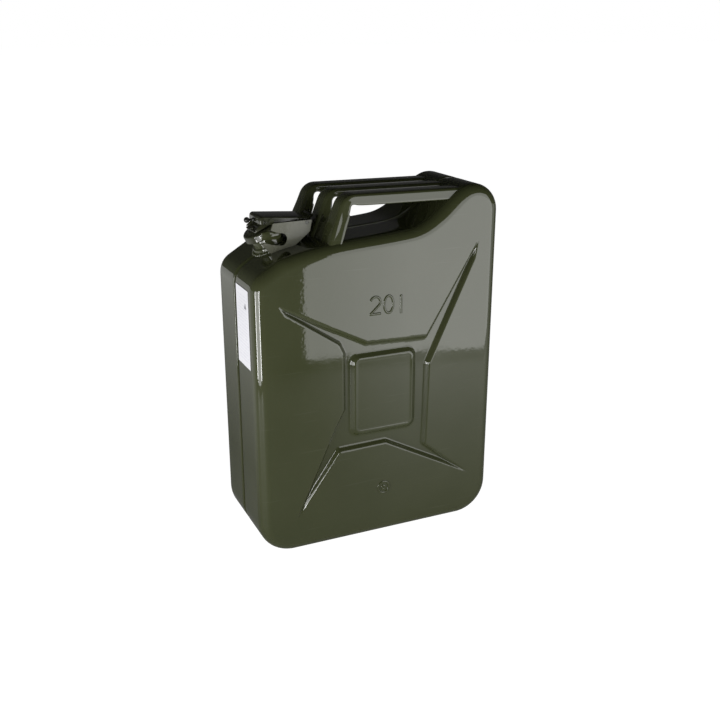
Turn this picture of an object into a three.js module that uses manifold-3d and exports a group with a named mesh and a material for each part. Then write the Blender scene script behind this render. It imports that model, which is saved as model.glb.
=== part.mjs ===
// A 20 litre pressed steel jerry can: two deep-drawn half shells joined at a recessed seam,
// three channel handles, a slanted pouring neck and a lever closure.
// Millimetres, +Z up. The origin is the centre of the base; the neck points towards -X.
import * as THREE from 'three';
import { mergeVertices } from 'three/addons/utils/BufferGeometryUtils.js';
import { ConvexGeometry } from 'three/addons/geometries/ConvexGeometry.js';
import Module from 'manifold-3d';

// ---- driving dimensions -------------------------------------------------------------------
const WIDTH = 345;               // along X, front (neck) to rear
const DEPTH = 150;               // along Y, across both shells
const HUMP_TOP = 477;            // crest of the rear air pocket
const SHEET = 1.0;               // shell wall
const FIT = 0.3;                 // gap between pieces that touch
const EDGE_RADIUS = 15;          // rounding between a big face and the narrow sides
const BASE_CORNER = 47;          // rounding of the outline at the base
const HUMP_CORNER = 36;          // rounding of the outline at the top rear
const SHOULDER_CORNER = 27;      // rounding where the front side turns into the shoulder
const SHOULDER_SLOPE = THREE.MathUtils.degToRad(31.5);
const SHOULDER_END = [-132, 402]; // X and Z where the shoulder meets the saddle
const GROOVE_WIDTH = 8;          // recessed seam channel, across
const GROOVE_DEPTH = 6;          // and how far it is set back
const STAMP_DEPTH = 5.5;         // depth of the X stamping
const STAMP_WALL = 6;            // width of its sloped wall
const PAD_DROP = 1;              // the centre pad lies this far below the big face

const HANDLE_WIDTH = 28;         // each handle channel, across
const HANDLE_PITCH = 46.5;        // centre to centre
const HANDLE_SHEET = 2;
const HANDLE_FLANGE = 12;        // depth of the channel's sides
const HANDLE_TOP = 474;          // height of the handle tops at the front bend
const HANDLE_FALL = 2;           // the tops fall by this towards the rear
const HANDLE_BEND = 12;          // reach of the rounded front bend
const LEG_FRONT = -44;           // X of the legs' front face where it meets the bend
const LEG_SLOPE = 0.41;          // the legs lean back, X over Z
const LEG_FOOT = 400;            // the legs start below the skin and are trimmed to it
const BAR_END = 128;             // the bars end inside the hump's slope and are trimmed to it
const WEB_HEIGHT = 46;           // web between two legs, from the legs' foot to its notch

const NECK_LEAN = THREE.MathUtils.degToRad(29);   // neck axis from the vertical, towards -X
const MOUTH = new THREE.Vector3(-134, 0, 428);    // centre of the mouth plane
const NECK_RADIUS = 20;
const NECK_WALL = 1.4;
const NECK_LENGTH = 42;
const COLLAR_RADIUS = 23;
const LIP_RADIUS = 22.2;
const PIPE_RADIUS = 4;           // air pipe
const PIPE_OFFSET = 13.5;        // from the neck's axis towards the rear
const LID_RADIUS = 25;
const LID_SKIRT = 6.5;             // how far the lid's skirt reaches below the mouth plane
const LID_FLOOR = 2.1;           // underside of the lid above the mouth plane
const LID_DOME = 5;              // top of the lid's dome above the mouth plane

const CHEEK_Y = 27.8;            // middle of each cheek plate
const CHEEK_SHEET = 2.4;
const EAR_Y = 25.2;              // middle of the lid's side ears, just inside the cheeks
const EAR_SHEET = 1.8;
const HINGE = [-83, 437.5];      // lid hinge axis, X and Z
const HINGE_RADIUS = 2.5;
const LEVER_AXIS = [-128, 441];  // lever pivot axis, X and Z
const LEVER_PIN_RADIUS = 2;
const LEVER_FLANGE_Y = 21.5;     // middle of each lever side flange
const LEVER_SHEET = 1.8;
const LEVER_NOSE = -145;         // X of the lever's front
const LEVER_TOP = 449.4;         // height of the lever's back at its front
const YOKE_Y = 18.2;             // middle of each yoke arm
const YOKE_SHEET = 2;
const LOCK_RADIUS = 1.6;         // locking pin in the lever's nose
const LOCK_Z = 442.6;
const KNOB_RADIUS = 3.6;         // round knob in front of the lever
const KNOB_REACH = 6.4;          // its middle stands this far ahead of the lever's nose
const RIVET_PLACES = [-9, 1];    // yoke rivets along the lid, from its axis towards the rear
const RIVET_RADIUS = 1.8;
const PIN_HEAD_RADIUS = 3.8;     // heads of the lever pin
const PIN_HEAD_DEPTH = 1.3;
const LABEL_Y = [-56, -8];       // paper label on the narrow front side
const LABEL_Z = [261, 364];
const LABEL_SHEET = 0.25;

const AROUND = 36;               // segments of a full circle
const ARC_STEPS = 7;             // segments of each arc and curve of the can's outline
const EDGE_STEPS = 4;            // segments across the rounding of the can's edges

const wasm = await Module();
wasm.setup();

// ---- small helpers ------------------------------------------------------------------------

// A closed three.js geometry as a solid that can be joined and cut.
function solid(geometry) {
  const bare = geometry.index ? geometry.toNonIndexed() : geometry.clone();
  for (const name of Object.keys(bare.attributes)) {
    if (name !== 'position') bare.deleteAttribute(name);
  }
  const merged = mergeVertices(bare, 1e-4);
  return new wasm.Manifold(new wasm.Mesh({
    numProp: 3,
    vertProperties: new Float32Array(merged.attributes.position.array),
    triVerts: new Uint32Array(merged.index.array),
  }));
}

// A joined or cut solid back as a geometry.
function geometryOf(body) {
  const mesh = body.getMesh();
  const geometry = new THREE.BufferGeometry();
  const points = new Float32Array(mesh.numVert * 3);
  for (let i = 0; i < mesh.numVert; i += 1) {
    for (let k = 0; k < 3; k += 1) points[3 * i + k] = mesh.vertProperties[mesh.numProp * i + k];
  }
  geometry.setAttribute('position', new THREE.BufferAttribute(points, 3));
  geometry.setIndex(new THREE.BufferAttribute(new Uint32Array(mesh.triVerts), 1));
  geometry.computeVertexNormals();
  return geometry;
}

const union = (first, ...rest) => rest.reduce((sum, next) => sum.add(next), first);
const cut = (first, ...rest) => rest.reduce((left, next) => left.subtract(next), first);

// A shape drawn in X and Z, extruded between two Y values.
function slab(shape, y0, y1, options = {}) {
  const { bevel = 0, segments = 1, curveSegments = 12 } = options;
  const geometry = new THREE.ExtrudeGeometry(shape, {
    depth: y1 - y0 - 2 * bevel,
    bevelEnabled: bevel > 0,
    bevelThickness: bevel,
    bevelSize: bevel,
    bevelOffset: -bevel,
    bevelSegments: segments,
    curveSegments,
  });
  geometry.rotateX(Math.PI / 2);
  geometry.translate(0, y1 - bevel, 0);
  return geometry;
}

// A pin or disc along Y.
function pinAlongY(x, z, radius, y0, y1, segments = 20) {
  const geometry = new THREE.CylinderGeometry(radius, radius, y1 - y0, segments);
  geometry.translate(x, (y0 + y1) / 2, z);
  return geometry;
}

function box(x0, x1, y0, y1, z0, z1) {
  const geometry = new THREE.BoxGeometry(x1 - x0, y1 - y0, z1 - z0);
  geometry.translate((x0 + x1) / 2, (y0 + y1) / 2, (z0 + z1) / 2);
  return geometry;
}

// Moves a geometry drawn about +Z at the origin into the neck's place and lean.
function ontoNeck(geometry) {
  geometry.rotateY(-NECK_LEAN);
  geometry.translate(MOUTH.x, MOUTH.y, MOUTH.z);
  return geometry;
}

// A turned piece: profile points are [radius, height] about +Z.
function turned(profile, segments = AROUND) {
  const points = profile.map(([r, z]) => new THREE.Vector2(r, z));
  const geometry = new THREE.LatheGeometry(points, segments);
  geometry.rotateX(Math.PI / 2);
  return geometry;
}

// ---- the outline of the can, seen from the side --------------------------------------------

function canShape() {
  const half = WIDTH / 2;
  const shape = new THREE.Shape();
  shape.moveTo(-half + BASE_CORNER, 0);
  shape.lineTo(half - BASE_CORNER, 0);
  shape.absarc(half - BASE_CORNER, BASE_CORNER, BASE_CORNER, -Math.PI / 2, 0, false);
  shape.lineTo(half, HUMP_TOP - HUMP_CORNER);
  shape.absarc(half - HUMP_CORNER, HUMP_TOP - HUMP_CORNER, HUMP_CORNER, 0, Math.PI / 2, false);
  shape.bezierCurveTo(106, HUMP_TOP, 88, 430, 42, 424.5);        // down into the saddle
  shape.bezierCurveTo(5, 420, -35, 419, -62, 415.5);           // along the saddle
  shape.bezierCurveTo(-95, 411, -112, 408, ...SHOULDER_END);   // to the neck
  const [endX, endZ] = SHOULDER_END;                           // the sloping shoulder
  const turnX = -half + SHOULDER_CORNER;
  const run = (SHOULDER_CORNER + Math.sin(SHOULDER_SLOPE) * (endX - turnX));
  const turnZ = endZ - run / Math.cos(SHOULDER_SLOPE);
  shape.absarc(turnX, turnZ, SHOULDER_CORNER, Math.PI / 2 + SHOULDER_SLOPE, Math.PI, false);
  shape.lineTo(-half, BASE_CORNER);
  shape.absarc(-half + BASE_CORNER, BASE_CORNER, BASE_CORNER, Math.PI, 1.5 * Math.PI, false);
  return shape;
}

// The outline as points set in from the true outline by a distance.
function outlinePoints(inset) {
  const points = canShape().getPoints(ARC_STEPS).filter((point, i, all) => {
    const next = all[(i + 1) % all.length];
    return point.distanceTo(next) > 0.01;
  });
  return points.map((point, i) => {
    const before = points[(i + points.length - 1) % points.length];
    const after = points[(i + 1) % points.length];
    const along1 = point.clone().sub(before).normalize();
    const along2 = after.clone().sub(point).normalize();
    const n1 = new THREE.Vector2(-along1.y, along1.x);
    const n2 = new THREE.Vector2(-along2.y, along2.x);
    const middle = n1.clone().add(n2).normalize();
    return point.clone().addScaledVector(middle, inset / middle.dot(n1));
  });
}

const outline = (inset) => new THREE.Shape(outlinePoints(inset));

// A band that follows the outline, between two insets.
function outlineRing(insetOut, insetIn, y0, y1) {
  const shape = outline(insetOut);
  shape.holes.push(new THREE.Path(outlinePoints(insetIn)));
  return slab(shape, y0, y1);
}

// ---- shells --------------------------------------------------------------------------------

// Corners of the X stamping on the near face, as [x, z]: the four tips and the panel corners.
const TIP = {
  upFront: [-140, 346], upRear: [143, 402], lowRear: [139, 66], lowFront: [-126, 41],
};
const PANEL = {
  topFront: [-20, 283], topRear: [72, 280], rearTop: [69, 252], rearLow: [68, 122],
  rearMid: [68, 150], lowRear: [8, 141], lowFront: [-59, 134], frontLow: [-53, 184],
  frontTop: [-53, 276], frontHigh: [-60, 296],
};
const PAD = { x: 5, z: 210, halfX: 47, halfZ: 57, corner: 12 };

// A tapered pocket below the big face at y = -DEPTH / 2: `rim` corners on the face, and the
// same corners drawn in towards their middle on the floor. `tip` corners stay on the face.
function pocket(rim, tips, grow) {
  const face = -DEPTH / 2;
  const middle = rim.concat(tips).reduce((sum, [x, z]) => [sum[0] + x, sum[1] + z], [0, 0])
    .map((value) => value / (rim.length + tips.length));
  const points = [];
  const push = ([x, z], inset, y) => {
    const away = new THREE.Vector2(x - middle[0], z - middle[1]);
    const reach = away.length() - inset;
    away.normalize().multiplyScalar(reach);
    points.push(new THREE.Vector3(middle[0] + away.x, y, middle[1] + away.y));
  };
  for (const corner of rim) {
    push(corner, -grow, face - 1);
    push(corner, -grow, face);
    push(corner, STAMP_WALL - grow, face + STAMP_DEPTH + grow);
  }
  for (const corner of tips) {
    push(corner, -grow, face - 1);
    push(corner, -grow, face + grow);
  }
  return solid(new ConvexGeometry(points));
}

function stamping(grow) {
  const { upFront, upRear, lowRear, lowFront } = TIP;
  const p = PANEL;
  const centre = pocket([p.topFront, p.topRear, p.rearTop, p.rearMid, p.lowRear, p.lowFront,
    p.frontLow, p.frontTop], [], grow);
  const arms = [
    pocket([p.topFront, p.frontHigh, p.frontTop], [upFront], grow),
    pocket([p.topRear, p.rearTop], [upRear], grow),
    pocket([p.lowRear, p.rearLow, p.rearMid], [lowRear], grow),
    pocket([p.lowFront, p.frontLow], [lowFront], grow),
  ];
  const padShape = new THREE.Shape();
  const halfX = PAD.halfX - grow;
  const halfZ = PAD.halfZ - grow;
  const turns = [[1, -1, -0.5], [1, 1, 0], [-1, 1, 0.5], [-1, -1, 1]];
  for (const [sx, sz, start] of turns) {
    padShape.absarc(PAD.x + sx * (halfX - PAD.corner), PAD.z + sz * (halfZ - PAD.corner),
      PAD.corner, start * Math.PI, (start + 0.5) * Math.PI, false);
  }
  const floor = -DEPTH / 2 + STAMP_DEPTH + 3;
  const pad = solid(slab(padShape, -DEPTH / 2 + PAD_DROP + grow, floor, {
    bevel: 3, segments: 1, curveSegments: 4,
  }));
  return cut(union(centre, ...arms), pad);
}

// The whole can body as one thick-walled vessel, before it is split at the seam.
function vessel() {
  const reach = DEPTH / 2;
  const mirrorY = (body) => body.mirror([0, 1, 0]);
  const block = (inset) => solid(slab(outline(inset), -reach + inset, reach - inset, {
    bevel: EDGE_RADIUS - inset, segments: EDGE_STEPS,
  }));
  const channel = (inset) => solid(outlineRing(-3, GROOVE_DEPTH + inset,
    -GROOVE_WIDTH / 2 - inset, GROOVE_WIDTH / 2 + inset));
  const dressed = (inset) => {
    const stamp = stamping(inset);
    return cut(block(inset), channel(inset), stamp, mirrorY(stamp));
  };
  return cut(dressed(0), dressed(SHEET));
}

function neckHole() {
  const geometry = new THREE.CylinderGeometry(NECK_RADIUS + FIT, NECK_RADIUS + FIT, 90, AROUND);
  geometry.rotateX(Math.PI / 2);
  return solid(ontoNeck(geometry));
}

function shells() {
  const body = cut(vessel(), neckHole());
  const keep = 400;
  const near = solid(box(-keep, keep, -keep, -FIT / 2, -keep, 2 * keep));
  const far = solid(box(-keep, keep, FIT / 2, keep, -keep, 2 * keep));
  return [geometryOf(body.intersect(near)), geometryOf(body.intersect(far))];
}

function seamWeld() {
  const bead = solid(outlineRing(GROOVE_DEPTH - 2.4, GROOVE_DEPTH - FIT, -1.6, 1.6));
  const clear = new THREE.CylinderGeometry(COLLAR_RADIUS + 1, COLLAR_RADIUS + 1, 90, AROUND);
  clear.rotateX(Math.PI / 2);
  return geometryOf(cut(bead, solid(ontoNeck(clear))));
}

// ---- handles -------------------------------------------------------------------------------

const legFrontAt = (z) => LEG_FRONT - LEG_SLOPE * (HANDLE_TOP - z);

// Side outline of a handle, drawn `inset` inside its outer face: a leg that leans back, a
// rounded bend and a long bar, each `flange` deep.
function handleShape(inset, flange, foot) {
  const top = HANDLE_TOP - inset;
  const front = LEG_FRONT + inset;
  const rearTop = top - HANDLE_FALL;
  const shape = new THREE.Shape();
  shape.moveTo(legFrontAt(foot) + inset, foot);
  shape.lineTo(front - LEG_SLOPE * HANDLE_BEND, top - HANDLE_BEND);
  shape.quadraticCurveTo(front, top, front + HANDLE_BEND, top);
  shape.lineTo(BAR_END, rearTop);
  shape.lineTo(BAR_END, rearTop - flange);
  shape.lineTo(front + flange + 3, top - flange);
  shape.lineTo(legFrontAt(foot) + inset + flange, foot);
  return shape;
}

// Everything that the can's skin, grown by the fit gap, takes up.
function skinSpace() {
  return solid(slab(outline(-FIT), -DEPTH / 2 - FIT, DEPTH / 2 + FIT, {
    bevel: EDGE_RADIUS + FIT, segments: EDGE_STEPS,
  }));
}

// A pressed channel, open underneath, trimmed to the skin at its foot and at its rear end.
function handle(y, skin) {
  const outer = handleShape(0, HANDLE_FLANGE, LEG_FOOT);
  const hollow = handleShape(HANDLE_SHEET, 3 * HANDLE_FLANGE, LEG_FOOT - 5);
  const half = HANDLE_WIDTH / 2;
  const inner = half - HANDLE_SHEET;
  return geometryOf(cut(
    solid(slab(outer, y - half, y + half, { bevel: 1.2 })),
    solid(slab(hollow, y - inner, y + inner)),
    skin,
  ));
}

// A web between two front legs, its upper edge a round-bottomed notch.
function legWeb(y, skin) {
  const half = (HANDLE_PITCH - HANDLE_WIDTH) / 2 - FIT;
  const web = new THREE.Shape();
  web.moveTo(-half, 0);
  web.lineTo(half, 0);
  web.lineTo(half, WEB_HEIGHT);
  web.absarc(0, WEB_HEIGHT, half - 1, 0, Math.PI, true);
  web.lineTo(-half, WEB_HEIGHT);
  const geometry = new THREE.ExtrudeGeometry(web, {
    depth: HANDLE_SHEET, bevelEnabled: false, curveSegments: 10,
  });
  const back = new THREE.Vector3(1, 0, 0);
  const across = new THREE.Vector3(0, 1, 0);
  const up = new THREE.Vector3(0, 0, 1);
  geometry.applyMatrix4(new THREE.Matrix4().makeBasis(across, up, back));
  geometry.rotateY(Math.atan(LEG_SLOPE));
  geometry.translate(legFrontAt(LEG_FOOT) + FIT, y, LEG_FOOT);
  return geometryOf(cut(solid(geometry), skin));
}

// ---- neck ----------------------------------------------------------------------------------

function neckTube() {
  const bore = NECK_RADIUS - NECK_WALL;
  return ontoNeck(turned([
    [bore, -NECK_LENGTH], [NECK_RADIUS, -NECK_LENGTH], [NECK_RADIUS, -2.3], [bore, -2.3],
    [bore, -NECK_LENGTH],
  ]));
}

// The rolled mouth of the neck: a round bead that the gasket seals on.
function neckLip() {
  const bore = NECK_RADIUS - NECK_WALL;
  const middle = (LIP_RADIUS + bore) / 2;
  const reach = (LIP_RADIUS - bore) / 2;
  const steps = 8;
  const profile = [];
  for (let i = 0; i <= steps; i += 1) {
    const angle = (i % steps) * 2 * Math.PI / steps;
    profile.push([middle + reach * Math.cos(angle), -1 + 0.9 * Math.sin(angle)]);
  }
  return ontoNeck(turned(profile));
}

// The welded foot ring round the neck, trimmed to the shoulder.
function neckCollar(skin) {
  const ring = ontoNeck(turned([
    [NECK_RADIUS + FIT, -44], [COLLAR_RADIUS, -44], [COLLAR_RADIUS, -24],
    [NECK_RADIUS + 1.2, -20], [NECK_RADIUS + FIT, -20], [NECK_RADIUS + FIT, -44],
  ]));
  return geometryOf(cut(solid(ring), skin));
}

// The air pipe beside the rear wall of the neck, which lets air in as the can pours.
function breatherTube() {
  const bore = PIPE_RADIUS - 0.8;
  const geometry = turned([
    [bore, -52], [PIPE_RADIUS, -52], [PIPE_RADIUS, -4], [bore, -4], [bore, -52],
  ], 16);
  geometry.translate(PIPE_OFFSET, 0, 0);
  return ontoNeck(geometry);
}

// ---- closure -------------------------------------------------------------------------------

function polygon(points) {
  return new THREE.Shape(points.map(([x, z]) => new THREE.Vector2(x, z)));
}

function roundHole(shape, [x, z], radius) {
  const hole = new THREE.Path();
  hole.absarc(x, z, radius, 0, 2 * Math.PI, true);
  shape.holes.push(hole);
}

// A cheek of the closure bracket: a plate with a round-ended notch open to the front, where
// the lid's ear lies.
function cheek(side, skin) {
  const shape = new THREE.Shape();
  shape.moveTo(-122, 396);
  shape.lineTo(-106, 396);
  shape.lineTo(-109.5, 406.5);
  shape.lineTo(-97, 418.5);
  shape.lineTo(-79, 430);
  shape.lineTo(-78.5, 443.6);
  shape.lineTo(-122.5, 444);
  shape.lineTo(-127.5, 438);
  shape.lineTo(-127, 430.6);
  shape.lineTo(-118, 430.2);
  shape.absarc(-117.5, 423.6, 6.6, Math.PI / 2, -Math.PI / 2, true);
  shape.lineTo(-126.5, 415.4);
  shape.lineTo(-130, 416.8);
  shape.lineTo(-124.5, 404);
  roundHole(shape, HINGE, HINGE_RADIUS + FIT);
  const y = side * CHEEK_Y;
  const plate = slab(shape, y - CHEEK_SHEET / 2, y + CHEEK_SHEET / 2, { curveSegments: 8 });
  return geometryOf(cut(solid(plate), skin));
}

// The cross plate that ties the two cheeks behind the neck and stands on the shells.
function cheekBrace(skin) {
  const half = CHEEK_Y - CHEEK_SHEET / 2 - FIT;
  return geometryOf(cut(solid(box(-92, -90, -half, half, 400, 430)), skin));
}

// The pressed lid: a skirt over the mouth, a flat dome and an ear on each side that reaches
// back into the cheek's notch.
function lid() {
  const skirt = LID_RADIUS - 1.4;
  const cap = solid(ontoNeck(turned([
    [0, LID_FLOOR], [skirt, LID_FLOOR], [skirt, -LID_SKIRT], [LID_RADIUS, -LID_SKIRT],
    [LID_RADIUS, 2], [LID_RADIUS - 0.6, 3], [LID_RADIUS - 2, 3.6], [18, 4], [16, LID_DOME],
    [0, LID_DOME],
  ])));
  const ears = [-1, 1].map((side) => {
    const shape = new THREE.Shape();
    shape.moveTo(-142.5, 419);
    shape.lineTo(-121.6, 418.6);
    shape.absarc(-121.6, 423.3, 4.7, -Math.PI / 2, Math.PI / 2, false);
    shape.lineTo(-133, 429.6);
    shape.lineTo(-142.5, 428);
    const y = side * EAR_Y;
    return solid(slab(shape, y - EAR_SHEET / 2, y + EAR_SHEET / 2, { curveSegments: 6 }));
  });
  return geometryOf(cut(union(cap, ...ears), ...RIVET_PLACES.map((place) => rivetHole(place))));
}

function lidGasket() {
  return ontoNeck(turned([
    [15.5, 0.2], [LIP_RADIUS - 0.2, 0.2], [LIP_RADIUS - 0.2, LID_FLOOR - FIT],
    [15.5, LID_FLOOR - FIT], [15.5, 0.2],
  ]));
}

// Stands a piece made along Y on the lid, `place` behind the lid's axis.
function alongLid(geometry, place) {
  geometry.rotateX(Math.PI / 2);
  geometry.translate(place, 0, 0);
  return ontoNeck(geometry);
}

function rivetHole(place) {
  const radius = RIVET_RADIUS + FIT;
  return solid(alongLid(new THREE.CylinderGeometry(radius, radius, 40, 16), place));
}

// A rivet that holds the yoke on the lid's dome.
function yokeRivet(place) {
  const shank = LID_DOME + FIT + YOKE_SHEET + 0.4 - LID_FLOOR;
  const body = new THREE.CylinderGeometry(RIVET_RADIUS, RIVET_RADIUS, shank, 16);
  body.translate(0, LID_FLOOR + shank / 2, 0);
  const headHeight = 1.3;
  const head = new THREE.CylinderGeometry(1.9, 3.2, headHeight, 16);
  head.translate(0, LID_FLOOR + shank + headHeight / 2 - 0.1, 0);
  return geometryOf(union(solid(alongLid(body, place)), solid(alongLid(head, place))));
}

// The yoke: a base plate riveted on the lid, and two arms that carry the lever pin and reach
// back to the hinge.
function lidYoke() {
  const inner = YOKE_Y - YOKE_SHEET / 2;
  const arms = [-1, 1].map((side) => {
    const shape = polygon([
      [-147, 427.6], [-129.4, 437.2], [-119, 439.4], [-96, 436], [-88, 433.2], [-83, 432.9],
      [-78.6, 435], [-78.4, 440], [-82, 442], [-120, 445], [-134, 443.4], [-147.6, 431],
    ]);
    roundHole(shape, HINGE, HINGE_RADIUS + FIT);
    roundHole(shape, LEVER_AXIS, LEVER_PIN_RADIUS + FIT);
    const y = side * YOKE_Y;
    return solid(slab(shape, y - YOKE_SHEET / 2, y + YOKE_SHEET / 2, { curveSegments: 8 }));
  });
  const low = LID_DOME + FIT;
  const base = new THREE.BoxGeometry(18, 2 * inner + 1, YOKE_SHEET);
  base.translate(-4, 0, low + YOKE_SHEET / 2);
  const body = union(solid(ontoNeck(base)), ...arms);
  const lidSpace = solid(ontoNeck(turned([
    [0, -LID_SKIRT], [LID_RADIUS + FIT, -LID_SKIRT], [LID_RADIUS + FIT, 2.3],
    [LID_RADIUS - 2, 3.9], [18, 4.3], [16, low - 0.01], [0, low - 0.01],
  ])));
  return geometryOf(cut(body, lidSpace, ...RIVET_PLACES.map((place) => rivetHole(place))));
}

// The clamping lever: a channel over the yoke with a nose at the front and an upturned tab
// for the fingers at the rear. The hollow is the same outline drawn `inset` further in, and
// it reaches `drop` lower so that it leaves the channel open underneath.
function leverShape(inset, drop) {
  const nose = LEVER_NOSE + inset;
  const shape = new THREE.Shape();
  shape.moveTo(nose, 438.5 - drop);
  shape.lineTo(nose, LEVER_TOP - 4.4);
  shape.quadraticCurveTo(nose, LEVER_TOP - inset, nose + 6, LEVER_TOP - inset);
  shape.lineTo(-77, LEVER_TOP - 4.4 - inset);
  if (inset === 0) {
    shape.quadraticCurveTo(-73, 444.6, -70, 447);
    shape.lineTo(-68.6, 445.6);
    shape.quadraticCurveTo(-72, 442.6, -77, 442.6);
  }
  shape.lineTo(-91, 442 - drop);
  shape.lineTo(-100, 437.8 - drop);
  return shape;
}

function lever() {
  const outer = LEVER_FLANGE_Y + LEVER_SHEET / 2;
  const inner = LEVER_FLANGE_Y - LEVER_SHEET / 2;
  const block = solid(slab(leverShape(0, 0), -outer, outer));
  const hollow = solid(slab(leverShape(LEVER_SHEET, 10), -inner, inner));
  const pinHole = solid(pinAlongY(...LEVER_AXIS, LEVER_PIN_RADIUS + FIT, -40, 40));
  const lockHole = new THREE.CylinderGeometry(LOCK_RADIUS + FIT, LOCK_RADIUS + FIT, 12, 14);
  lockHole.rotateZ(Math.PI / 2);
  lockHole.translate(LEVER_NOSE, 0, LOCK_Z);
  const tabCorners = [-1, 1].map((side) => {
    const corner = new THREE.Shape();
    corner.moveTo(-77, side * 18);
    corner.lineTo(-77, side * 40);
    corner.lineTo(-60, side * 40);
    corner.lineTo(-60, side * 11);
    const geometry = new THREE.ExtrudeGeometry(corner, { depth: 40, bevelEnabled: false });
    geometry.translate(0, 0, 420);
    return solid(geometry);
  });
  return geometryOf(cut(block, hollow, pinHole, solid(lockHole), ...tabCorners));
}

// A headed pin along Y.
function headedPin([x, z], radius, reach, headRadius, headDepth) {
  const parts = [solid(pinAlongY(x, z, radius, -reach, reach))];
  if (headRadius) {
    for (const side of [-1, 1]) {
      const y0 = Math.min(side * (reach - headDepth), side * reach);
      parts.push(solid(pinAlongY(x, z, headRadius, y0, y0 + headDepth, 24)));
    }
  }
  return geometryOf(union(...parts));
}

function lockPin() {
  const shank = new THREE.CylinderGeometry(LOCK_RADIUS, LOCK_RADIUS, 14, 14);
  shank.rotateZ(Math.PI / 2);
  shank.translate(LEVER_NOSE + 2, 0, LOCK_Z);
  const knob = new THREE.SphereGeometry(KNOB_RADIUS, 12, 8);
  knob.translate(LEVER_NOSE - KNOB_REACH, 0, LOCK_Z);
  return geometryOf(union(solid(shank), solid(knob)));
}

// ---- label ---------------------------------------------------------------------------------

// A paper label on the flat of the narrow front side, beside the seam.
function label() {
  const x = -WIDTH / 2 - 0.35;
  return box(x - LABEL_SHEET, x, ...LABEL_Y, ...LABEL_Z);
}

// ---- the object ----------------------------------------------------------------------------

const FINISHES = {
  enamel: { color: 0x3c4028, roughness: 0.25, metalness: 0.0 },
  enamelDark: { color: 0x30331f, roughness: 0.3, metalness: 0.0 },
  steel: { color: 0x9a9a94, roughness: 0.4, metalness: 1.0 },
  rubber: { color: 0x1a1a1a, roughness: 0.8, metalness: 0.0 },
  paper: { color: 0xe8e8ea, roughness: 0.7, metalness: 0.0 },
};

const can = new THREE.Group();

function add(name, geometry, finish) {
  const mesh = new THREE.Mesh(geometry, new THREE.MeshStandardMaterial(FINISHES[finish]));
  mesh.name = name;
  can.add(mesh);
}

const skin = skinSpace();
const [nearShell, farShell] = shells();
add('near_shell', nearShell, 'enamel');
add('far_shell', farShell, 'enamel');
add('seam_weld', seamWeld(), 'enamelDark');
add('near_handle', handle(-HANDLE_PITCH, skin), 'enamel');
add('middle_handle', handle(0, skin), 'enamel');
add('far_handle', handle(HANDLE_PITCH, skin), 'enamel');
add('near_leg_web', legWeb(-HANDLE_PITCH / 2, skin), 'enamel');
add('far_leg_web', legWeb(HANDLE_PITCH / 2, skin), 'enamel');
add('neck_tube', neckTube(), 'enamel');
add('neck_lip', neckLip(), 'enamel');
add('neck_collar', neckCollar(skin), 'enamel');
add('breather_tube', breatherTube(), 'steel');
add('near_cheek', cheek(-1, skin), 'enamel');
add('far_cheek', cheek(1, skin), 'enamel');
add('cheek_brace', cheekBrace(skin), 'enamel');
add('hinge_pin', headedPin(HINGE, HINGE_RADIUS, CHEEK_Y + CHEEK_SHEET / 2 + 0.3), 'steel');
add('lid', lid(), 'enamelDark');
add('lid_gasket', lidGasket(), 'rubber');
add('lid_yoke', lidYoke(), 'enamelDark');
add('front_rivet', yokeRivet(RIVET_PLACES[0]), 'steel');
add('rear_rivet', yokeRivet(RIVET_PLACES[1]), 'steel');
add('lever', lever(), 'enamelDark');
add('lever_pin', headedPin(LEVER_AXIS, LEVER_PIN_RADIUS, 24, PIN_HEAD_RADIUS, PIN_HEAD_DEPTH),
  'enamelDark');
add('lock_pin', lockPin(), 'enamelDark');
add('label', label(), 'paper');

export default can;
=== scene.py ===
"""Looks of a 20 litre pressed steel jerry can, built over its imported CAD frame.

Every piece is a parametric surface whose formula stands in its builder's docstring.
Lengths in the dataclasses are millimetres in the CAD frame: +Z up, the neck towards -X,
the seam in the plane Y = 0 and the origin in the middle of the base.
"""
import logging
import math
from dataclasses import dataclass, field
from enum import Enum
from typing import Optional, Sequence

import bpy
import numpy as np
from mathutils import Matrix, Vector


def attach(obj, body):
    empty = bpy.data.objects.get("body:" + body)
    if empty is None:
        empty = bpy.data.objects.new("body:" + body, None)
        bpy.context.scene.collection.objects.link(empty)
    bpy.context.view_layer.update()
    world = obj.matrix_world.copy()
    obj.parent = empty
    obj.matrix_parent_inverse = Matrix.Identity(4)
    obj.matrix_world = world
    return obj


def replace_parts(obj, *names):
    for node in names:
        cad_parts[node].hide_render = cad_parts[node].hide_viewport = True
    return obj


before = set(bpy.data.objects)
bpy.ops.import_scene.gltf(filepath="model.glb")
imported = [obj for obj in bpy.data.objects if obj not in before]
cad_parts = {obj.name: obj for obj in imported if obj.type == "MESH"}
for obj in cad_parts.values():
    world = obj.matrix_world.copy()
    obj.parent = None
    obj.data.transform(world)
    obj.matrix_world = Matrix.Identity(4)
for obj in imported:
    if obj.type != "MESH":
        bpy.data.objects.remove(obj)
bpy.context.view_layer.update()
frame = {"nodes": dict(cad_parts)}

LOG = logging.getLogger("jerry_can")
MM = 0.001
TAU = 2.0 * math.pi
SIDES = (("near", -1.0), ("far", 1.0))


# ---- numbers and curves --------------------------------------------------------------------

def smooth(t: np.ndarray) -> np.ndarray:
    """Eases a ramp from 0 to 1.

    Args:
        t: ramp values, clipped to 0..1.

    Returns:
        3 t^2 - 2 t^3.
    """
    t = np.clip(t, 0.0, 1.0)
    return t * t * (3.0 - 2.0 * t)


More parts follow.
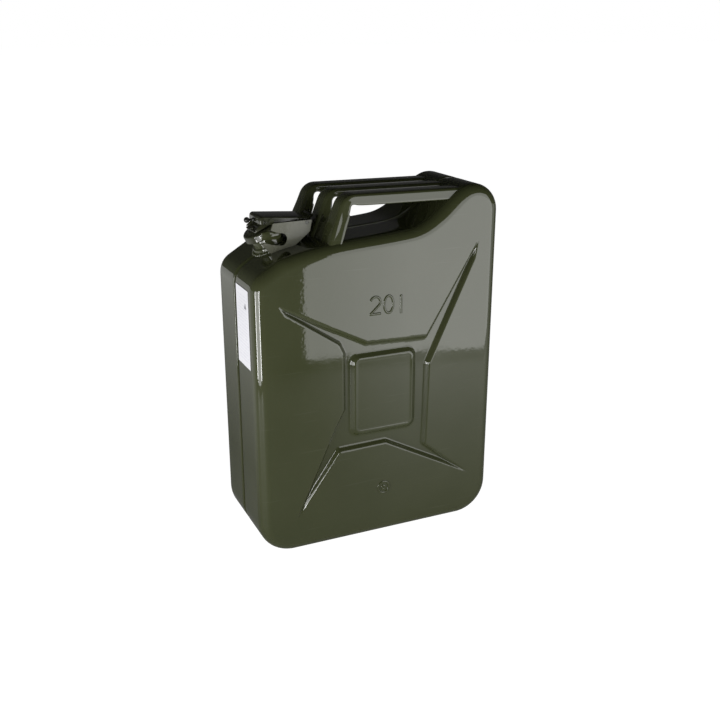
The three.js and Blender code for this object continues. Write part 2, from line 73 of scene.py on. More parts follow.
def hashed(a: np.ndarray, seed: float = 0.0) -> np.ndarray:
    """Repeatable noise in -1..1 for each number.

    Args:
        a: any numbers.
        seed: picks another series.

    Returns:
        The fraction of a large sine, mapped to -1..1.
    """
    value = np.sin(a * 12.9898 + seed * 78.233) * 43758.5453
    return 2.0 * (value - np.floor(value)) - 1.0


def arc(cx: float, cz: float, r: float, a0: float, a1: float, n: int) -> np.ndarray:
    """Points on an arc.

    Args:
        cx: centre.
        cz: centre.
        r: radius.
        a0: start angle in degrees.
        a1: end angle in degrees.
        n: number of steps.

    Returns:
        (n + 1) x 2 points.
    """
    a = np.radians(np.linspace(a0, a1, n + 1))
    return np.stack([cx + r * np.cos(a), cz + r * np.sin(a)], 1)


def circle(n: int) -> np.ndarray:
    """The angles of n points spread evenly round a full turn."""
    return np.linspace(0.0, TAU, n, endpoint=False)


def unit(rows: np.ndarray) -> np.ndarray:
    """Each row divided by its length."""
    return rows / np.linalg.norm(rows, axis=1)[:, None]


def tangents(line: np.ndarray, closed: bool = False) -> np.ndarray:
    """Unit directions along a line, from the points on either side of each point.

    Args:
        line: n x 2 points.
        closed: whether the last point joins the first.

    Returns:
        n x 2 unit vectors.
    """
    return unit(np.roll(line, -1, 0) - np.roll(line, 1, 0) if closed
                else np.gradient(line, axis=0))


def left_of(along: np.ndarray) -> np.ndarray:
    """The n x 2 vectors turned left by a quarter turn."""
    return np.stack([-along[:, 1], along[:, 0]], 1)


def at_y(flat: np.ndarray, y: object) -> np.ndarray:
    """Puts n x 2 points of X and Z at a given Y, one number or n of them."""
    return np.insert(flat, 1, y, axis=1)


def about_axis(radius: object, angle: np.ndarray, height: object) -> np.ndarray:
    """Points about an axis: (radius cos angle, radius sin angle, height), as m x 3 rows.

    Args:
        radius: distance from the axis, a number or an array.
        angle: directions round the axis.
        height: height along the axis, a number or an array.

    Returns:
        The points of all combinations that the arrays' shapes span.
    """
    parts = np.broadcast_arrays(radius * np.cos(angle), radius * np.sin(angle), height)
    return np.stack(parts, -1).reshape(-1, 3)


def bezier(p: Sequence[Sequence[float]], n: int) -> np.ndarray:
    """Points on a cubic curve with four control points.

    Args:
        p: four control points.
        n: number of steps.

    Returns:
        (n + 1) x 2 points.
    """
    q = np.asarray(p, float)
    t = np.linspace(0.0, 1.0, n + 1)[:, None]
    s = 1.0 - t
    return s ** 3 * q[0] + 3 * s * s * t * q[1] + 3 * s * t * t * q[2] + t ** 3 * q[3]


def resampled(points: np.ndarray, n: int, closed: bool) -> np.ndarray:
    """Spreads points evenly along a polyline.

    Args:
        points: the polyline.
        n: number of points wanted.
        closed: whether the last point joins the first.

    Returns:
        n points.
    """
    line = np.vstack([points, points[:1]]) if closed else points
    step = np.linalg.norm(np.diff(line, axis=0), axis=1)
    keep = np.concatenate([[True], step > 1e-6])
    line = line[keep]
    at = np.concatenate([[0.0], np.cumsum(np.linalg.norm(np.diff(line, axis=0), axis=1))])
    want = np.linspace(0.0, at[-1], n, endpoint=not closed)
    return np.stack([np.interp(want, at, line[:, k]) for k in range(line.shape[1])], 1)


def edge_distance(points: np.ndarray, corners: np.ndarray) -> np.ndarray:
    """Signed distance from points to a polygon, positive inside.

    Args:
        points: n x 2 points.
        corners: polygon corners in order.

    Returns:
        n distances: the least distance to any edge, with the even-odd rule for the sign.
    """
    best = np.full(len(points), 1e9)
    inside = np.zeros(len(points), bool)
    for a, b in zip(corners, np.roll(corners, -1, axis=0)):
        along = b - a
        t = np.clip(((points - a) @ along) / max(along @ along, 1e-12), 0.0, 1.0)
        best = np.minimum(best, np.linalg.norm(points - a - t[:, None] * along, axis=1))
        rise = (a[1] > points[:, 1]) != (b[1] > points[:, 1])
        span = b[1] - a[1] if abs(b[1] - a[1]) > 1e-12 else 1e-12
        crossing = a[0] + (points[:, 1] - a[1]) / span * along[0]
        inside ^= rise & (points[:, 0] < crossing)
    return np.where(inside, best, -best)


# ---- meshes --------------------------------------------------------------------------------

def mesh_piece(name: str, points: np.ndarray, faces: list, body: str) -> bpy.types.Object:
    """Makes a mesh object from arrays and lets it ride on a body.

    Triangles and quads are shaded smooth, larger faces flat.

    Args:
        name: name of the piece.
        points: n x 3 points in millimetres.
        faces: arrays of corner numbers, one row for each face.
        body: the CAD body that carries the piece.

    Returns:
        The new object.
    """
    mesh = bpy.data.meshes.new(name)
    sizes = [f.shape[1] for f in faces]
    loops = np.concatenate([f.ravel() for f in faces]).astype(np.int32)
    totals = np.concatenate([np.full(len(f), k, np.int32) for f, k in zip(faces, sizes)])
    starts = np.concatenate([[0], np.cumsum(totals)[:-1]]).astype(np.int32)
    mesh.vertices.add(len(points))
    mesh.vertices.foreach_set("co", (points * MM).astype(np.float32).ravel())
    mesh.loops.add(len(loops))
    mesh.loops.foreach_set("vertex_index", loops)
    mesh.polygons.add(len(totals))
    mesh.polygons.foreach_set("loop_start", starts)
    mesh.polygons.foreach_set("use_smooth", totals <= 4)
    mesh.update(calc_edges=True)
    mesh.validate()
    piece = bpy.data.objects.new(name, mesh)
    bpy.context.scene.collection.objects.link(piece)
    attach(piece, body)
    LOG.info("built %s with %d faces", name, len(totals))
    return piece


def grid_faces(rows: int, columns: int, wrap: bool, turn: bool = False) -> np.ndarray:
    """Quads of a grid whose points are stored row by row.

    Args:
        rows: number of rows.
        columns: points in each row.
        wrap: whether each row closes on itself.
        turn: whether the faces look the other way.

    Returns:
        m x 4 corner numbers.
    """
    reach = columns if wrap else columns - 1
    i, j = np.meshgrid(np.arange(rows - 1), np.arange(reach), indexing="ij")
    k = (j + 1) % columns
    quad = np.stack([i * columns + j, i * columns + k, (i + 1) * columns + k,
                     (i + 1) * columns + j], -1).reshape(-1, 4)
    return quad[:, ::-1] if turn else quad


def cap_faces(first: int, count: int, centre: int, turn: bool) -> np.ndarray:
    """Triangles from a ring to one centre point.

    Args:
        first: number of the ring's first point.
        count: points in the ring.
        centre: number of the centre point.
        turn: whether the faces look the other way.

    Returns:
        m x 3 corner numbers.
    """
    j = np.arange(count)
    tri = np.stack([first + j, first + (j + 1) % count, np.full(count, centre)], 1)
    return tri[:, ::-1] if turn else tri


def swept(name: str, path: np.ndarray, ups: np.ndarray, profiles: np.ndarray, body: str,
          side: Optional[np.ndarray] = None, closed: bool = False,
          turn: bool = False) -> bpy.types.Object:
    """Sweeps a closed profile along a path: point = path + a * side + b * up.

    Args:
        name: name of the piece.
        path: n x 3 path points.
        ups: n x 3 unit vectors for the profile's second axis.
        profiles: n x m x 2 profile points (a, b) for each path point.
        body: carrying body.
        side: n x 3 unit vectors for the first axis; +Y where it is left out.
        closed: whether the path closes on itself.
        turn: whether the faces look the other way.

    Returns:
        The swept piece, with its ends closed by fans unless the path is closed.
    """
    if side is None:
        side = np.tile([0.0, 1.0, 0.0], (len(path), 1))
    rings = (path[:, None] + profiles[:, :, :1] * side[:, None]
             + profiles[:, :, 1:] * ups[:, None])
    rows, columns = rings.shape[:2]
    points = rings.reshape(-1, 3)
    if closed:
        rows += 1
        faces = [grid_faces(rows, columns, True, turn) % len(points)]
        return mesh_piece(name, points, faces, body)
    ends = np.stack([rings[0].mean(0), rings[-1].mean(0)])
    faces = [grid_faces(rows, columns, True, turn),
             cap_faces(0, columns, len(points), not turn),
             cap_faces(len(points) - columns, columns, len(points) + 1, turn)]
    return mesh_piece(name, np.vstack([points, ends]), faces, body)


def turned(name: str, profile: Sequence[Sequence[float]], place: "NeckFrame", body: str,
           around: int = 112) -> bpy.types.Object:
    """Turns a closed profile of (radius, height) round the neck's axis.

    Args:
        name: name of the piece.
        profile: profile points in order; the loop closes on itself.
        place: the neck's frame.
        body: carrying body.
        around: points round the axis.

    Returns:
        The turned piece.
    """
    line = np.asarray(profile, float)
    points = place.put(about_axis(line[:, None, 0], circle(around), line[:, None, 1]))
    faces = grid_faces(len(line) + 1, around, True) % len(points)
    return mesh_piece(name, points, [faces], body)


# ---- finishes ------------------------------------------------------------------------------

class Look(Enum):
    """Named finishes of the can."""

    ENAMEL = "enamel"
    # The body's enamel darkened as painted shade, for the lid, lever, yoke, leg webs, brace,
    # pins and rivets.
    ENAMEL_PAINTED_SHADE = "enamel_painted_shade"
    # Satin enamel for the cheeks: its roughness is the finish, its lighter colour is painted
    # light.
    ENAMEL_SATIN_PAINTED_LIGHT = "enamel_satin_painted_light"
    STEEL = "bare_steel"
    BLACK = "dark_steel"
    RUBBER = "rubber"
    PAPER = "paper"


@dataclass(frozen=True)
class Finish:
    """Numbers of one procedural finish.

    Attributes:
        colour: linear base colour.
        second: colour of the faint mottling.
        rough: lowest roughness.
        rough_more: how much the smears add to the roughness.
        metal: metallic share.
        coat: clear coat weight.
        peel: height of the orange peel in millimetres.
        peel_scale: orange peel bumps per metre.
        wave: height of the slow waves in the sheet, in millimetres.
        wear: strength of the scratches and rubbed spots.
        round_edge: radius in millimetres that the shading rounds sharp edges with.
    """

    colour: tuple
    second: tuple
    rough: float
    rough_more: float
    metal: float = 0.0
    coat: float = 0.0
    peel: float = 0.012
    peel_scale: float = 420.0
    wave: float = 0.0
    wear: float = 0.3
    round_edge: float = 0.0


FINISHES = {
    Look.ENAMEL: Finish((0.029, 0.033, 0.0135), (0.034, 0.038, 0.017), 0.035, 0.06,
                        coat=0.25, peel=0.030, peel_scale=210.0, wave=0.05, wear=0.3),
    # Enamel darkened as painted shade: the closure's parts and the leg webs.
    Look.ENAMEL_PAINTED_SHADE: Finish((0.017, 0.019, 0.009), (0.024, 0.026, 0.013), 0.12, 0.14,
                             coat=0.2, peel=0.020, peel_scale=330.0, wear=0.5,
                             round_edge=0.7),
    # Rougher enamel for the cheeks, lightened in colour as painted light.
    Look.ENAMEL_SATIN_PAINTED_LIGHT: Finish((0.078, 0.080, 0.056), (0.096, 0.098, 0.072), 0.22, 0.2,
                              coat=0.2, peel=0.035, peel_scale=620.0, wear=0.9),
    Look.STEEL: Finish((0.42, 0.41, 0.38), (0.30, 0.29, 0.26), 0.26, 0.22, metal=1.0,
                       peel=0.006, wear=0.6, round_edge=0.4),
    Look.BLACK: Finish((0.010, 0.011, 0.008), (0.014, 0.014, 0.011), 0.2, 0.15,
                       peel=0.01, wear=0.5, round_edge=0.4),
    Look.RUBBER: Finish((0.016, 0.016, 0.016), (0.024, 0.024, 0.023), 0.6, 0.2,
                        peel=0.02, wear=0.2, round_edge=0.3),
    Look.PAPER: Finish((0.66, 0.66, 0.69), (0.60, 0.60, 0.63), 0.42, 0.12, peel=0.008,
                       peel_scale=900.0, wear=0.1),
}


class Nodes:
    """Adds and joins the nodes of one tree."""

    def __init__(self, tree: bpy.types.NodeTree) -> None:
        """Takes the tree that the nodes go into."""
        self.tree = tree

    def add(self, kind: str, **values: object) -> bpy.types.Node:
        """Adds a node and sets its properties.

        Args:
            kind: node type.
            **values: properties of the node.

        Returns:
            The node.
        """
        node = self.tree.nodes.new(kind)
        for key, value in values.items():
            setattr(node, key, value)
        return node

    def link(self, source: object, target: object) -> None:
        """Joins two sockets.

        Args:
            source: output socket.
            target: input socket.
        """
        self.tree.links.new(source, target)

    def ramp(self, value: object, low: float, high: float, out: tuple = (0.0, 1.0)) -> object:
        """Maps a range of a value to another range, clamped.

        Args:
            value: socket with the value.
            low: start of the range.
            high: end of the range.
            out: resulting range.

        Returns:
            The result socket.
        """
        node = self.add("ShaderNodeMapRange", clamp=True)
        for key, number in zip(("From Min", "From Max", "To Min", "To Max"),
                               (low, high, *out)):
            node.inputs[key].default_value = number
        self.link(value, node.inputs["Value"])
        return node.outputs["Result"]

    def math(self, kind: str, *values: object) -> object:
        """Adds a math node.

        Args:
            kind: operation.
            *values: its sockets or numbers in order.

        Returns:
            The value socket.
        """
        node = self.add("ShaderNodeMath", operation=kind)
        for slot, value in zip(node.inputs, values):
            if isinstance(value, (int, float)):
                slot.default_value = value
            else:
                self.link(value, slot)
        return node.outputs[0]

    def mix(self, share: object, a: object, b: object) -> object:
        """Mixes two colours.

        Args:
            share: factor socket.
            a: colour socket or tuple at 0.
            b: colour socket or tuple at 1.

        Returns:
            The colour socket.
        """
        node = self.add("ShaderNodeMix", data_type="RGBA")
        self.link(share, node.inputs["Factor"])
        for slot, value in ((node.inputs[6], a), (node.inputs[7], b)):
            if isinstance(value, tuple):
                slot.default_value = (*value, 1.0)
            else:
                self.link(value, slot)
        return node.outputs[2]

    def split(self, where: object) -> tuple:
        """The three value sockets of a vector socket."""
        node = self.add("ShaderNodeSeparateXYZ")
        self.link(where, node.inputs["Vector"])
        return tuple(node.outputs)


class Shader(Nodes):
    """Builds one node material from a finish."""

    def __init__(self, look: Look, finish: Finish) -> None:
        """Starts the material.

        Args:
            look: which finish this is.
            finish: its numbers.
        """
        self.finish = finish
        self.material = bpy.data.materials.new(look.value)
        self.material.use_nodes = True
        super().__init__(self.material.node_tree)
        self.tree.nodes.clear()
        self.where = self.add("ShaderNodeTexCoord").outputs["Object"]

    def noise(self, scale: float, detail: float = 3.0, stretch: Optional[tuple] = None,
              rough: float = 0.5) -> object:
        """Adds a noise texture in object space.

        Args:
            scale: features per metre.
            detail: octaves.
            stretch: scale of each axis.
            rough: weight of the finer octaves.

        Returns:
            The factor socket.
        """
        node = self.add("ShaderNodeTexNoise")
        node.inputs["Scale"].default_value = scale
        node.inputs["Detail"].default_value = detail
        node.inputs["Roughness"].default_value = rough
        place = self.where
        if stretch:
            mapping = self.add("ShaderNodeMapping")
            mapping.inputs["Scale"].default_value = stretch
            self.link(self.where, mapping.inputs["Vector"])
            place = mapping.outputs["Vector"]
        self.link(place, node.inputs["Vector"])
        return node.outputs["Fac"]

    def bump(self, height: object, millimetres: float, onto: Optional[object]) -> object:
        """Adds a bump of a given height.

        Args:
            height: socket with the height from 0 to 1.
            millimetres: height of a full step.
            onto: normal to start from.

        Returns:
            The normal socket.
        """
        node = self.add("ShaderNodeBump")
        node.inputs["Strength"].default_value = 1.0
        node.inputs["Distance"].default_value = millimetres * MM
        self.link(height, node.inputs["Height"])
        if onto is not None:
            self.link(onto, node.inputs["Normal"])
        return node.outputs["Normal"]

    def build(self) -> bpy.types.Material:
        """Puts the finish together: mottled colour, smears, scratches, peel and waves.

        Returns:
            The material.
        """
        f = self.finish
        body = self.add("ShaderNodeBsdfPrincipled")
        body.inputs["Metallic"].default_value = f.metal
        body.inputs["Coat Weight"].default_value = f.coat
        body.inputs["Coat Roughness"].default_value = 0.03
        mottle = self.ramp(self.noise(9.0, 4.0), 0.35, 0.7)
        colour = self.mix(mottle, f.colour, f.second)
        smears = self.ramp(self.noise(22.0, 5.0, (1.0, 1.0, 0.35)), 0.45, 0.75)
        grit = self.ramp(self.noise(650.0, 2.0), 0.62, 0.78)
        scratch = self.ramp(self.noise(60.0, 2.0, (0.25, 0.6, 9.0), 0.3), 0.71, 0.74)
        marks = self.math("MULTIPLY", self.math("MAXIMUM", grit, scratch), 0.18 * f.wear)
        dust = tuple(min(1.0, 0.10 + 1.2 * c) for c in f.colour)
        colour = self.mix(marks, colour, dust)
        rough = self.math("ADD", self.math("MULTIPLY", smears, f.rough_more), f.rough)
        rough = self.math("ADD", rough, self.math("MULTIPLY", marks, 0.5))
        self.link(rough, body.inputs["Roughness"])
        normal = None
        if f.round_edge:
            edge = self.add("ShaderNodeBevel", samples=4)
            edge.inputs["Radius"].default_value = f.round_edge * MM
            normal = edge.outputs["Normal"]
        if f.wave:
            normal = self.bump(self.noise(11.0, 1.0), 6.0 * f.wave, normal)
        normal = self.bump(self.noise(f.peel_scale, 1.5), f.peel, normal)
        normal = self.bump(scratch, -0.006 * f.wear, normal)
        self.link(normal, body.inputs["Normal"])
        self.link(self.printed(colour), body.inputs["Base Color"])
        out = self.add("ShaderNodeOutputMaterial")
        self.link(body.outputs["BSDF"], out.inputs["Surface"])
        return self.material

    def printed(self, colour: object) -> object:
        """Adds print to a finish; plain ones have none.

        Args:
            colour: colour socket.

        Returns:
            The colour socket to use.
        """
        return colour


class PaperShader(Shader):
    """Paper with faint grey rules in place of print, and one small plain triangle.

    PITCH is the rules' spacing, SPAN their reach in Y and Z, and MARK the triangle's Y, foot,
    height and half width, all in metres.
    """

    PITCH = 0.0042
    SPAN = (-0.0515, -0.0125, 0.268, 0.356)
    MARK = (-0.044, 0.3385, 0.008, 0.0042)

    def printed(self, colour: object) -> object:
        """Draws rules: dark where the height repeats, broken up along the line by noise.

        Args:
            colour: paper colour socket.

        Returns:
            The colour socket with the rules.
        """
        _, y, z = self.split(self.where)
        row = self.math("FRACT", self.math("MULTIPLY", z, 1.0 / self.PITCH))
        line = self.math("LESS_THAN", row, 0.34)
        words = self.ramp(self.noise(900.0, 1.0, (0.2, 1.0, 0.12)), 0.44, 0.5)
        y0, y1, z0, z1 = self.SPAN
        inside = self.math("MULTIPLY", self.math("GREATER_THAN", y, y0),
                           self.math("LESS_THAN", y, y1))
        inside = self.math("MULTIPLY", inside, self.math("LESS_THAN", z, z1))
        inside = self.math("MULTIPLY", inside, self.math("GREATER_THAN", z, z0))
        ink = self.math("MULTIPLY", self.math("MULTIPLY", line, words), inside)
        colour = self.mix(self.math("MULTIPLY", ink, 0.34), colour, (0.30, 0.30, 0.40))
        middle, foot, height, half = self.MARK
        rise = self.math("DIVIDE", self.math("SUBTRACT", z, foot), height)
        reach = self.math("MULTIPLY", self.math("SUBTRACT", 1.0, rise), half)
        off = self.math("ABSOLUTE", self.math("SUBTRACT", y, middle))
        mark = self.math("MULTIPLY", self.math("LESS_THAN", off, reach),
                         self.math("GREATER_THAN", rise, 0.0))
        return self.mix(self.math("MULTIPLY", mark, 0.85), colour, (0.05, 0.05, 0.07))


class Paint:
    """Keeps one material of each look and puts them on pieces."""

    def __init__(self) -> None:
        """Builds every material."""
        self.made = {}
        for look, finish in FINISHES.items():
            kind = PaperShader if look is Look.PAPER else Shader
            self.made[look] = kind(look, finish).build()

    def dress(self, piece: bpy.types.Object, look: Look, slot: Optional[str] = None) -> None:
        """Gives a piece its material.

        Args:
            piece: the object.
            look: finish to use.
            slot: the record's slot; not used.
        """
        piece.data.materials.clear()
        piece.data.materials.append(self.made[look])
        LOG.info("dressed %s in %s", piece.name, look.value)


# ---- the can's body ------------------------------------------------------------------------

@dataclass
class Outline:
    """The can seen from the side.

    Attributes:
        width: along X.
        top: crest of the rear air pocket.
        base_corner: radius at the base.
        hump_corner: radius at the top rear.
        shoulder_corner: radius where the front turns into the shoulder.
        slope: shoulder's slope in degrees.
        end: where the shoulder meets the saddle.
        count: points round the outline.
    """

    width: float = 345.0
    top: float = 477.0
    base_corner: float = 47.0
    hump_corner: float = 36.0
    shoulder_corner: float = 27.0
    slope: float = 31.5
    end: tuple = (-132.0, 402.0)
    count: int = 560
    points: np.ndarray = field(init=False)
    inward: np.ndarray = field(init=False)

    def __post_init__(self) -> None:
        """Joins lines, arcs and cubic curves, spreads points evenly and finds the normals."""
        half = self.width / 2
        b, h, s = self.base_corner, self.hump_corner, self.shoulder_corner
        turn_x = -half + s
        slope = math.radians(self.slope)
        run = s + math.sin(slope) * (self.end[0] - turn_x)
        turn_z = self.end[1] - run / math.cos(slope)
        line = np.vstack([
            arc(half - b, b, b, -90, 0, 24),
            arc(half - h, self.top - h, h, 0, 90, 24),
            bezier([(half - h, self.top), (106, self.top), (88, 430), (42, 424.5)], 40),
            bezier([(42, 424.5), (5, 420), (-35, 419), (-62, 415.5)], 30),
            bezier([(-62, 415.5), (-95, 411), (-112, 408), self.end], 24),
            arc(turn_x, turn_z, s, 90 + self.slope, 180, 20),
            arc(-half + b, b, b, 180, 270, 24),
        ])
        even = resampled(line, self.count, True)
        for _ in range(2):
            even = 0.5 * even + 0.25 * (np.roll(even, 1, 0) + np.roll(even, -1, 0))
        even[:, 1] = np.where(even[:, 1] < 0.3, 0.0, even[:, 1])
        self.points = even
        self.inward = left_of(tangents(even, True))

    def inset(self, distance: float) -> np.ndarray:
        """The outline moved inwards.

        Args:
            distance: how far.

        Returns:
            Points, one for each point of the outline.
        """
        return self.points + distance * self.inward


@dataclass
class NeckFrame:
    """The neck's axis: it leans towards -X from the vertical.

    Attributes:
        mouth: centre of the mouth.
        lean: angle from the vertical in degrees.
    """

    mouth: tuple = (-134.0, 0.0, 428.0)
    lean: float = 29.0

    def axes(self) -> tuple:
        """The frame's unit vectors.

        Returns:
            (rearward across the axis, +Y, up along the axis).
        """
        a = math.radians(self.lean)
        return (np.array([math.cos(a), 0.0, math.sin(a)]), np.array([0.0, 1.0, 0.0]),
                np.array([-math.sin(a), 0.0, math.cos(a)]))

    def put(self, local: np.ndarray) -> np.ndarray:
        """Places points given about the neck.

        Args:
            local: n x 3 points (rearward, sideways, up from the mouth).

        Returns:
            n x 3 points in the CAD frame.
        """
        rear, side, up = self.axes()
        return (np.asarray(self.mouth) + local[:, :1] * rear + local[:, 1:2] * side
                + local[:, 2:] * up)

    def local(self, points: np.ndarray) -> np.ndarray:
        """The inverse of put.

        Args:
            points: n x 3 points in the CAD frame.

        Returns:
            n x 3 points about the neck.
        """
        away = points - np.asarray(self.mouth)
        return np.stack([away @ axis for axis in self.axes()], 1)


class Enamelled:
    """A sub-assembly whose pieces all take the body's enamel."""

    def dress(self, pieces: list, paint: Paint) -> None:
        """Paints every piece.

        Args:
            pieces: what build returned.
            paint: the materials.
        """
        for piece in pieces:
            paint.dress(piece, Look.ENAMEL)


@dataclass
class Shells(Enamelled):
    """The two deep-drawn half shells with the X stamping, and the seam's weld.

    Attributes:
        depth: across both shells.
        edge: radius between a big face and the narrow sides.
        groove: width and depth of the seam channel.
        stamp: depth of the stamping and width of its sloped wall.
        pad: centre, half size, corner radius and drop of the pad in the middle.
        rings: rings from the edge of a big face to its middle.
        crowding: power on the rings' spacing; below 1 they stand closer near the middle.
        hole: radius of the hole under the neck.
        bead: half width of the seam's weld.
        clear: radius about the neck's axis in which the weld is left out.
        star: corners of the stamping in X and Z.
    """

    outline: Outline
    neck: NeckFrame
    depth: float = 150.0
    edge: float = 15.0
    groove: tuple = (8.0, 6.0)
    stamp: tuple = (6.0, 6.0)
    pad: tuple = (5.0, 210.0, 47.0, 57.0, 12.0, 1.0)
    rings: int = 118
    crowding: float = 0.92
    hole: float = 20.6
    bead: float = 2.3
    clear: float = 24.0
    star: tuple = ((-20, 284), (66, 281), (141, 405), (137, 380), (72, 241), (70, 150),
                   (69, 124), (141, 65), (8, 136), (-59.5, 134.5), (-126, 41), (-66, 172),
                   (-54, 194), (-54, 272), (-60, 285), (-131, 333), (-139, 345))

    def sunk(self, flat: np.ndarray) -> np.ndarray:
        """How far the stamping lies below the big face.

        A point sinks by the full depth times an eased ramp of its distance inside the star's
        edge, and the pad inside the star rises again by an eased ramp of the distance inside
        its rounded rectangle.

        Args:
            flat: n x 2 points of X and Z.

        Returns:
            n depths.
        """
        depth, wall = self.stamp
        inside = edge_distance(flat, np.asarray(self.star, float))
        sink = depth * smooth((inside + 0.6) / wall)
        x, z, half_x, half_z, corner, drop = self.pad
        q = np.abs(flat - [x, z]) - [half_x - corner, half_z - corner]
        outside = (np.linalg.norm(np.maximum(q, 0.0), axis=1)
                   + np.minimum(q.max(1), 0.0) - corner)
        rise = smooth((-outside + 2.2) / 7.5)
        rim = 0.5 * np.exp(-((outside + 5.6) / 1.8) ** 2)
        return sink * (1.0 - rise) + (drop - rim) * rise * np.clip(sink / depth, 0, 1)

    def section(self) -> list:
        """The shell's section from inside the seam to the big face.

        Returns:
            (inset, distance from the seam plane) pairs: the welded edge, the groove with its
            rounded lip, the narrow side and a quarter circle.
        """
        width, deep = self.groove
        half, reach = width / 2, self.depth / 2
        path = [(deep + 1.0, half + 1.0), (deep + 1.0, 0.15), (deep, 0.15), (deep, half - 1.6)]
        path += [(deep - 1.2 * (1 - math.cos(a)), half - 1.6 + 1.2 * math.sin(a))
                 for a in np.radians((30, 60, 90))]
        path += [(1.6 - 1.6 * math.sin(a), half + 0.2 + 1.6 * (1 - math.cos(a)))
                 for a in np.radians((0, 22, 45, 68, 90))]
        path += [(0.0, y) for y in np.linspace(half + 4, reach - self.edge, 9)]
        path += [(self.edge * (1 - math.cos(a)), reach - self.edge * (1 - math.sin(a)))
                 for a in np.radians(np.linspace(0, 90, 13))[1:]]
        return path

    def build(self) -> list:
        """Makes both shells and the weld.

        Each shell is one grid: the section carried round the outline, then rings that shrink
        towards the middle of the big face and sink with the stamping.

        Returns:
            [near shell, far shell, weld].
        """
        section = self.section()
        base = self.outline.inset(self.edge)
        middle = np.array([self.pad[0], self.pad[1]])
        share = np.linspace(0.0, 1.0, self.rings + 1)[1:-1] ** self.crowding
        n = self.outline.count
        made = []
        for name, side in SIDES:
            rows = [at_y(self.outline.inset(i), side * y) for i, y in section]
            for s in share:
                flat = base + s * (middle - base)
                rows.append(at_y(flat, side * (self.depth / 2 - self.sunk(flat))))
            points = np.vstack(rows)
            faces = grid_faces(len(rows), n, True, side < 0)
            centre = np.array([[middle[0], side * (self.depth / 2 - self.pad[5]), middle[1]]])
            fan = cap_faces(len(points) - n, n, len(points), side < 0)
            points = np.vstack([points, centre])
            local = self.neck.local(points[faces].mean(1))
            hole = (np.hypot(local[:, 0], local[:, 1]) < self.hole) & (local[:, 2] > -60)
            piece = mesh_piece(f"{name}_shell_skin", points, [faces[~hole], fan], "can")
            made.append(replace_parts(piece, f"{name}_shell"))
        made.append(self.weld())
        return made

    def weld(self) -> bpy.types.Object:
        """The weld in the groove: a flat half round whose height ripples along the seam.

        Returns:
            The weld.
        """
        at = at_y(self.outline.inset(self.groove[1] - 0.3), 0.0)
        index = np.arange(len(at))
        height = 1.7 + 0.25 * np.sin(1.8 * index) + 0.15 * hashed(index.astype(float))
        a = np.linspace(0.0, math.pi, 9)
        arcs = np.stack([np.broadcast_to(self.bead * np.cos(a), (len(at), len(a))),
                         height[:, None] * np.sin(a)], -1)
        out = at_y(-self.outline.inward, 0.0)
        local = self.neck.local(at)
        order = index[np.hypot(local[:, 0], local[:, 1]) > self.clear]
        gaps = np.linalg.norm(np.diff(at[order], axis=0, append=at[order[:1]]), axis=1)
        order = np.roll(order, -int(np.argmax(gaps)) - 1)
        piece = swept("seam_weld_bead", at[order], out[order], arcs[order], "can", turn=True)
        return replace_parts(piece, "seam_weld")


@dataclass
class Marks(Enamelled):
    """Plain raised marks on the near face: the capacity and a small ring.

    Attributes:
        face: Y of the near face.
        height: height of the ridges above the face.
        half: half width of the ridges.
        bite: how far the ridges reach into the face.
    """

    face: float = -75.0
    height: float = 1.3
    half: float = 1.8
    bite: float = 0.15

    def strokes(self) -> list:
        """Middle lines of the ridges, in X and Z.

        Returns:
            (points, closed) pairs: the figure two, the nought, the litre stroke and two rings.
        """
        two = np.vstack([arc(-9.0, 336.5, 7.0, 165, -35, 14),
                         [[-13.0, 323.6], [-16.5, 320.6]], [[-1.5, 320.6]]])
        litre = np.array([[26.6, 340.0], [28.0, 341.6], [28.0, 317.5]])
        rounds = []
        for x, z, half_x, half_z, count in ((10.0, 331.5, 6.4, 11.5, 40),
                                            (5.0, 70.0, 8.2, 8.2, 48),
                                            (5.0, 70.0, 2.4, 2.4, 48)):
            a = circle(count)
            rounds.append(np.stack([x + half_x * np.cos(a), z + half_z * np.sin(a)], 1))
        nought, ring, dot = rounds
        return [(two, False), (nought, True), (litre, False), (ring, True), (dot, True)]

    def build(self) -> list:
        """Sweeps a low half round along each stroke.

        Returns:
            The ridges.
        """
        a = np.linspace(0.0, math.pi, 9)
        bow = np.stack([self.half * np.cos(a), self.height * np.sin(a)], 1)
        made = []
        for i, (line, closed) in enumerate(self.strokes()):
            flat = resampled(line, 60 if closed else 48, closed)
            side = at_y(left_of(tangents(flat, closed)), 0.0)
            ups = np.tile([0.0, -1.0, 0.0], (len(flat), 1))
            made.append(swept(f"mark_{i}", at_y(flat, self.face + self.bite), ups,
                              np.tile(bow, (len(flat), 1, 1)), "can", side, closed))
        return made



# ---- handles -------------------------------------------------------------------------------

